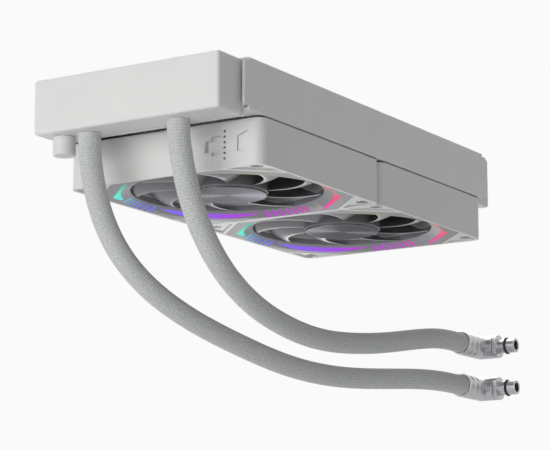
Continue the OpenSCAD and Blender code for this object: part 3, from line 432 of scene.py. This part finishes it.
# Light rings: a milky acrylic guide carries light from the board's lamps to bars, wedges and dashes, which stand
# flush with the bezel. The lamps run through a slow colour cycle round the ring, cyan at the outer front corner.
# Each colour has its angle in degrees about the fan's axis.
GLOW = [(-180, "#6C74CC"), (-165, "#6FA0D0"), (-158, "#6CDCE6"), (-146, "#58F2DA"), (-134, "#62DCC0"),
        (-112, "#5CA88E"), (-95, "#58C878"), (-70, "#9ADA58"), (-45, "#E2CE50"), (-15, "#EE9640"),
        (5, "#EE704C"), (45, "#EC4E8C"), (70, "#D848B4"), (85, "#B455C0"), (104, "#C040DC"), (120, "#AC4CE4"),
        (140, "#9660F0"), (165, "#8478F8"), (180, "#6C74CC")]
for fan in FANS:
    low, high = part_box(fan + "light_guide")
    # Lit milky acrylic: an even glow with hardly any shine, in the colour of the nearest lamps.
    milky_guide, tree, shader = new_finish("lit_milky_acrylic_" + fan[:-1], Roughness=0.6, IOR=1.49,
                                           Specular_IOR_Level=0.05, Emission_Strength=0.9,
                                           Base_Color=linear("#2A2A30"))
    place = add(tree, "ShaderNodeTexCoord")
    about = add(tree, "ShaderNodeMapping",
                {"Vector": place.outputs["Object"], "Location": (0, -(low.y + high.y) / 2, 0)})
    axes = add(tree, "ShaderNodeSeparateXYZ", {"Vector": about.outputs["Vector"]})
    angle = add(tree, "ShaderNodeMath", {0: axes.outputs["Y"], 1: axes.outputs["X"]}, operation="ARCTAN2")
    share = add(tree, "ShaderNodeMapRange",
                {"Value": angle.outputs[0], "From Min": -np.pi, "From Max": np.pi})
    cycle = add(tree, "ShaderNodeValToRGB", {"Fac": share.outputs["Result"]})
    for degrees, colour in GLOW[1:-1]:
        cycle.color_ramp.elements.new((degrees + 180) / 360).color = linear(colour)
    cycle.color_ramp.elements[0].color = cycle.color_ramp.elements[-1].color = linear(GLOW[0][1])
    tree.links.new(cycle.outputs["Color"], shader.inputs["Emission Color"])
    dress(milky_guide, fan + "light_guide")


# Bezels: mouldings that clip into the frames' pockets and mask the guides down to the lit windows.
# Their bevel leads the air into the opening.
# Moulded ABS: a fine satin, with a grain of under half a millimetre.
shaded_bezel_moulding, tree, shader = new_finish("moulded_abs_with_painted_shade", Roughness=0.45, IOR=1.53, Specular_IOR_Level=0.35)
# Painted shade: the mid grey is partly the plastic's own tone and partly darkened for the shade under the fans.
uneven_tone(tree, shader, "#8C8C93", "#94949B", size=0.03, detail=2.0)
fine_relief(tree, shader, size=0.0004, detail=1.0, strength=0.08, height=0.0001)
BEZEL_EDGE = 0.0003
for fan in FANS:
    eased_copy(fan + "bezel", fan + "ring_mask", BEZEL_EDGE, "radiator", shaded_bezel_moulding)


# Fan screws: cross-headed steel screws with the same zinc plate as the motors' steel.
# They hold each fan's corners to the lower flanges of the rails.
dress(zinc_steel, "fan_screws")


# Hoses: rubber hoses in a knitted sleeve of light grey heather yarn, pushed over the tank's nipples.
# They leave the tank's floor straight down, swing back under the fans and end crimped onto swivel elbows.
def hose_line(route, step):
    """Centreline in metres, steered by a route's points in millimetres: a uniform cubic B-spline whose ends are
    led by mirrored points, so it starts and ends on the route, cut into steps of equal length."""
    p = np.array(route, float) / 1000
    p = np.vstack([2 * p[0] - p[1], p, 2 * p[-1] - p[-2]])
    t = np.linspace(0, 1, 60, endpoint=False)[None, :, None]
    weights = ((1 - t) ** 3, 3 * t ** 3 - 6 * t ** 2 + 4, -3 * t ** 3 + 3 * t ** 2 + 3 * t + 1, t ** 3)
    spans = len(p) - 3
    line = sum(w * p[k:k + spans, None] for k, w in enumerate(weights)).reshape(-1, 3) / 6
    line = np.vstack([line, p[-2]])
    run = np.concatenate([[0], np.cumsum(np.linalg.norm(np.diff(line, axis=0), axis=1))])
    even = np.linspace(0, run[-1], round(run[-1] / step) + 1)
    return np.stack([np.interp(even, run, line[:, k]) for k in range(3)], -1), run[-1]


def knit_height(course, wale):
    """Height, 0 to 1, of a plain knit: round yarns cross in both directions, each over and under in turn, and
    the higher one shows."""
    def yarn(across, along):
        row = np.floor(across)
        body = np.sqrt(np.clip(1 - (2 * (across - row) - 1) ** 2, 0, 1))
        return body + 0.6 * np.cos(np.pi * (along - 0.5) + np.pi * row)
    return np.clip(np.maximum(yarn(course, wale), yarn(wale, course + 1)) / 1.6, 0, 1)


# Heather yarn: pale and mid grey fibres spun together, so flecks about a yarn wide run along the courses, and
# the fuzz gives a soft sheen.
heather_knit, tree, shader = new_finish("knitted_heather_polyester", Roughness=0.85, IOR=1.45,
                                        Sheen_Weight=0.35, Sheen_Roughness=0.5)
laid = add(tree, "ShaderNodeUVMap", uv_map="knit")
flecks = add(tree, "ShaderNodeMapping", {"Vector": laid.outputs["UV"], "Scale": (2.0, 1.1, 1.0)})
fleck = add(tree, "ShaderNodeTexNoise",
            {"Vector": flecks.outputs["Vector"], "Scale": 1.0, "Detail": 3.0, "Roughness": 0.6})
tone = add(tree, "ShaderNodeValToRGB", {"Fac": fleck.outputs["Fac"]})
for element, position, colour in zip(tone.color_ramp.elements, (0.3, 0.62), ("#BABDBE", "#DDDFDF")):
    element.position, element.color = position, linear(colour)
# Painted shade: the knit's hollows are darkened by the yarn height, as less light gets out between the yarns.
yarn = add(tree, "ShaderNodeAttribute", attribute_name="yarn_height")
painted_hollow_shade = add(tree, "ShaderNodeMapRange", {"Value": yarn.outputs["Fac"], "To Min": 0.7, "To Max": 1.0})
shaded = add(tree, "ShaderNodeMix", {0: 1.0, 6: tone.outputs["Color"], 7: painted_hollow_shade.outputs["Result"]},
             data_type="RGBA", blend_type="MULTIPLY")
tree.links.new(shaded.outputs[2], shader.inputs["Base Color"])
fibre = add(tree, "ShaderNodeTexNoise", {"Vector": laid.outputs["UV"], "Scale": 6.0, "Detail": 2.0})
bump = add(tree, "ShaderNodeBump", {"Height": fibre.outputs["Fac"], "Strength": 0.5, "Distance": 0.0001})
tree.links.new(bump.outputs["Normal"], shader.inputs["Normal"])

ROUTES = {
    "inlet": [(-30, -142, -30), (-30, -142, -38), (-28, -142, -52), (-25, -139, -71), (-19, -132, -91),
              (-11, -119, -107), (-4, -101, -118), (2, -79, -126), (7, -55, -132), (11, -31, -137),
              (15, -7, -140), (20, 17, -141), (26, 40, -140), (32, 62, -138), (37, 84, -136),
              (39, 106, -135), (39, 126, -135), (39, 146, -135)],
    "outlet": [(25, -142, -30), (25, -142, -38), (27, -141, -52), (29, -138, -69), (32, -130, -87),
               (34, -117, -102), (35, -99, -113), (35, -78, -120), (35, -56, -124), (34, -33, -126),
               (34, -9, -126), (35, 15, -124), (36, 39, -121), (37, 62, -117), (38, 84, -113),
               (39, 106, -110), (39, 126, -110), (39, 146, -110)],
}
HOSE_R, YARN_RELIEF = 0.0058, 0.00022
COURSE, WALES = 0.0016, 24
AROUND, STEP = 96, 0.0004
turn = np.linspace(0, 2 * np.pi, AROUND, endpoint=False)
hoses = {}
for loop, route in ROUTES.items():
    line, length = hose_line(route, STEP)
    rows = len(line)
    ahead = np.gradient(line, axis=0)
    ahead /= np.linalg.norm(ahead, axis=1)[:, None]
    across = np.cross(ahead, [1, 0, 0])
    across /= np.linalg.norm(across, axis=1)[:, None]
    aside = np.cross(ahead, across)
    # Courses climb by one a turn, as on a tubular knit. They are drawn 1.6 mm apart, coarser than real, to show.
    course = np.arange(rows)[:, None] * (length / (rows - 1)) / COURSE + turn[None] / (2 * np.pi)
    wale = turn[None] / (2 * np.pi) * WALES + 0 * course
    height = knit_height(course, wale)
    radius = HOSE_R - YARN_RELIEF * (1 - height)
    tube = line[:, None] + radius[..., None] * (np.cos(turn)[None, :, None] * across[:, None]
                                                + np.sin(turn)[None, :, None] * aside[:, None])
    ids = np.arange(rows * AROUND).reshape(rows, AROUND)
    ids = np.hstack([ids, ids[:, :1]])
    quads = np.stack([ids[:-1, :-1], ids[1:, :-1], ids[1:, 1:], ids[:-1, 1:]], -1).reshape(-1, 4)
    start_ring, end_ring = ids[0, :-1].tolist(), ids[-1, -2::-1].tolist()
    mesh = bpy.data.meshes.new(loop + "_hose_sleeve")
    mesh.from_pydata(tube.reshape(-1, 3).tolist(), [], quads.tolist() + [start_ring, end_ring])
    # The knit's own coordinates: courses along, wales round, with the seam column closed at the full turn.
    wide = np.hstack([wale, np.full((rows, 1), WALES)])
    tall = np.hstack([course, course[:, :1] + 1])
    corner = np.stack([tall, wide], -1)
    laps = [corner[:-1, :-1], corner[1:, :-1], corner[1:, 1:], corner[:-1, 1:]]
    laps = np.vstack([np.stack(laps, 2).reshape(-1, 2), corner[0, :-1], corner[-1, -2::-1]])
    mesh.uv_layers.new(name="knit").data.foreach_set("uv", laps.ravel())
    mesh.attributes.new("yarn_height", "FLOAT", "POINT").data.foreach_set("value", height.ravel())
    sleeve = fit_piece(loop + "_hose_sleeve", mesh, "radiator", heather_knit, [loop + "_hose"])
    hoses[loop] = sleeve, line, length


# Crimp collars: ferrules turned from brass and nickel plated, over the hose ends and the elbows' stems.
# Each is pressed in two waists, which hold the hose.
COLLAR_EDGE, COLLAR_GAP = 0.0006, 0.00005
WAISTS, WAIST_W, WAIST_D = (0.005, 0.011), 0.0011, 0.0004
for loop in ROUTES:
    low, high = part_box(loop + "_collar")
    centre = ((low.x + high.x) / 2, 0, (low.z + high.z) / 2)
    collar_r = (high.x - low.x) / 2
    y = np.linspace(low.y + COLLAR_EDGE, high.y - COLLAR_EDGE, 60)
    waist = sum(np.exp(-((y - low.y - at) / WAIST_W) ** 2) for at in WAISTS)
    collar = fillet(collar_r - COLLAR_EDGE, low.y + COLLAR_EDGE, COLLAR_EDGE, -90, 0, 4)
    collar += list(zip(collar_r - WAIST_D * waist, y))
    collar += fillet(collar_r - COLLAR_EDGE, high.y - COLLAR_EDGE, COLLAR_EDGE, 0, 90, 4)
    collar += [(HOSE_R + COLLAR_GAP, high.y), (HOSE_R + COLLAR_GAP, low.y), collar[0]]
    surface_piece(loop + "_crimp_ferrule", [(turned(collar, centre, "y"), True)], "radiator",
                                   satin_nickel, [loop + "_collar"])


# Elbows and swivel spigots: forged brass, machined at the ports and nickel plated.
# A spigot turns in its elbow and carries the seal ring. With them each hose is complete.
ELBOW_EDGE, SPIGOT_EDGE = 0.0005, 0.0002
for loop, (sleeve, line, length) in hoses.items():
    elbow = eased_copy(loop + "_elbow", loop + "_elbow_body", ELBOW_EDGE, "radiator", satin_nickel)
    spigot = eased_copy(loop + "_spigot", loop + "_spigot_stem", SPIGOT_EDGE, loop + "_swivel", satin_nickel)


# Floor: a wide pale painted board under the hanging radiator, which takes its soft shadow.
# It runs out into the white behind it, and adds no light to the part by being seen so pale.
def looked_at(tree):
    """Socket that is 1 where the eye, a reflection or a clear material shows a surface, and 0 where the surface
    only gives light: the largest of the three rays' flags."""
    path = add(tree, "ShaderNodeLightPath")
    seen = add(tree, "ShaderNodeMath", {0: path.outputs["Is Camera Ray"], 1: path.outputs["Is Glossy Ray"]},
               operation="MAXIMUM")
    seen = add(tree, "ShaderNodeMath", {0: seen.outputs[0], 1: path.outputs["Is Transmission Ray"]},
               operation="MAXIMUM")
    return seen.outputs[0]


FLOOR_Z, FLOOR_HALF = -0.35, 20
GROUND = linear("#FAFAFA")
# Floor paint: matt, with a drift of tone over about a third of a metre.
floor_paint, tree, shader = new_finish("pale_floor_paint", Roughness=0.7)
uneven_tone(tree, shader, "#E6E6E5", "#ECECEB", size=1 / 3, detail=3.0)
# Where it is looked at, the paint is lifted to a pale ground, which keeps the part's shadow near by and turns
# white a few metres off.
place = add(tree, "ShaderNodeTexCoord")
away = add(tree, "ShaderNodeVectorMath", {0: place.outputs["Object"]}, operation="LENGTH")
lift = add(tree, "ShaderNodeMapRange", {"Value": away.outputs["Value"], "From Min": 0.6, "From Max": 4.0,
                                        "To Min": 0.6, "To Max": 1.0})
shown = add(tree, "ShaderNodeMath", {0: looked_at(tree), 1: lift.outputs["Result"]}, operation="MULTIPLY")
ground = add(tree, "ShaderNodeEmission", {"Color": GROUND, "Strength": 1.0})
pale = add(tree, "ShaderNodeMixShader", {0: shown.outputs[0], 1: shader.outputs[0], 2: ground.outputs[0]})
# From underneath the floor is clear, so that the fans can be looked at from there too.
facing = add(tree, "ShaderNodeNewGeometry")
clear = add(tree, "ShaderNodeBsdfTransparent")
sided = add(tree, "ShaderNodeMixShader",
            {0: facing.outputs["Backfacing"], 1: pale.outputs[0], 2: clear.outputs[0]})
tree.links.new(sided.outputs[0], tree.get_output_node("ALL").inputs["Surface"])
mesh = bpy.data.meshes.new("floor")
corners = [(x * FLOOR_HALF, y * FLOOR_HALF, FLOOR_Z) for x, y in ((-1, -1), (1, -1), (1, 1), (-1, 1))]
mesh.from_pydata(corners, [], [(0, 1, 2, 3)])
mesh.materials.append(floor_paint)
put_in_scene("floor", mesh)


# Studio: white where it is looked at, and a weak even fill where it only gives light.
# Wide gridded strips light the front, soft boxes the top and the back, and a small low lamp the hub caps.
FILL = 0.23
world = bpy.data.worlds.new("studio")
bpy.context.scene.world = world
world.use_nodes = True
tree = world.node_tree
tree.nodes.clear()
level = add(tree, "ShaderNodeMapRange", {"Value": looked_at(tree), "To Min": FILL, "To Max": 1.0})
ground = add(tree, "ShaderNodeBackground", {"Color": GROUND, "Strength": level.outputs["Result"]})
add(tree, "ShaderNodeOutputWorld", {"Surface": ground.outputs[0]})


def soft_box(name, place, target, wide, tall, power, spread=180):
    """Flat lamp at a place, turned to face a target. The spread is the angle in degrees that its grid lets by."""
    lamp = bpy.data.lights.new(name, "AREA")
    lamp.shape, lamp.size, lamp.size_y = "RECTANGLE", wide, tall
    lamp.energy, lamp.spread = power, np.radians(spread)
    box = put_in_scene(name, lamp)
    box.location = place
    box.rotation_euler = (Vector(target) - Vector(place)).to_track_quat("-Z", "Y").to_euler()
    box.visible_camera = False


soft_box("key", (-0.35, -2.0, 0.12), (0, 0, -0.05), wide=2.2, tall=0.8, power=3.5, spread=90)
soft_box("top", (-0.6, 0.3, 1.8), (0, 0, 0), wide=1.5, tall=1.5, power=18)
soft_box("back", (-0.7, 1.8, 0.9), (0, 0, -0.05), wide=1.2, tall=1.2, power=8)
soft_box("card", (-0.2, -1.3, -0.2), (0, 0, -0.04), wide=1.4, tall=0.25, power=1.2, spread=90)
soft_box("low", (-0.56, 0.86, -0.30), (0, 0, -0.05), wide=0.12, tall=0.08, power=0.031, spread=60)


# Camera: the photograph's station point, seen slightly from below.
# It is aimed at the middle of the part, through a longer lens that shows it whole.
lens = bpy.data.cameras.new("camera")
lens.lens, lens.sensor_width = 145.5, 36.0
camera = put_in_scene("camera", lens)
camera.location = (0.6376, -1.0241, -0.2951)
camera.rotation_euler = Vector((-0.52306, 0.83, 0.19367)).to_track_quat("-Z", "Y").to_euler()
bpy.context.scene.camera = camera

bpy.context.scene.view_settings.view_transform = "Standard"
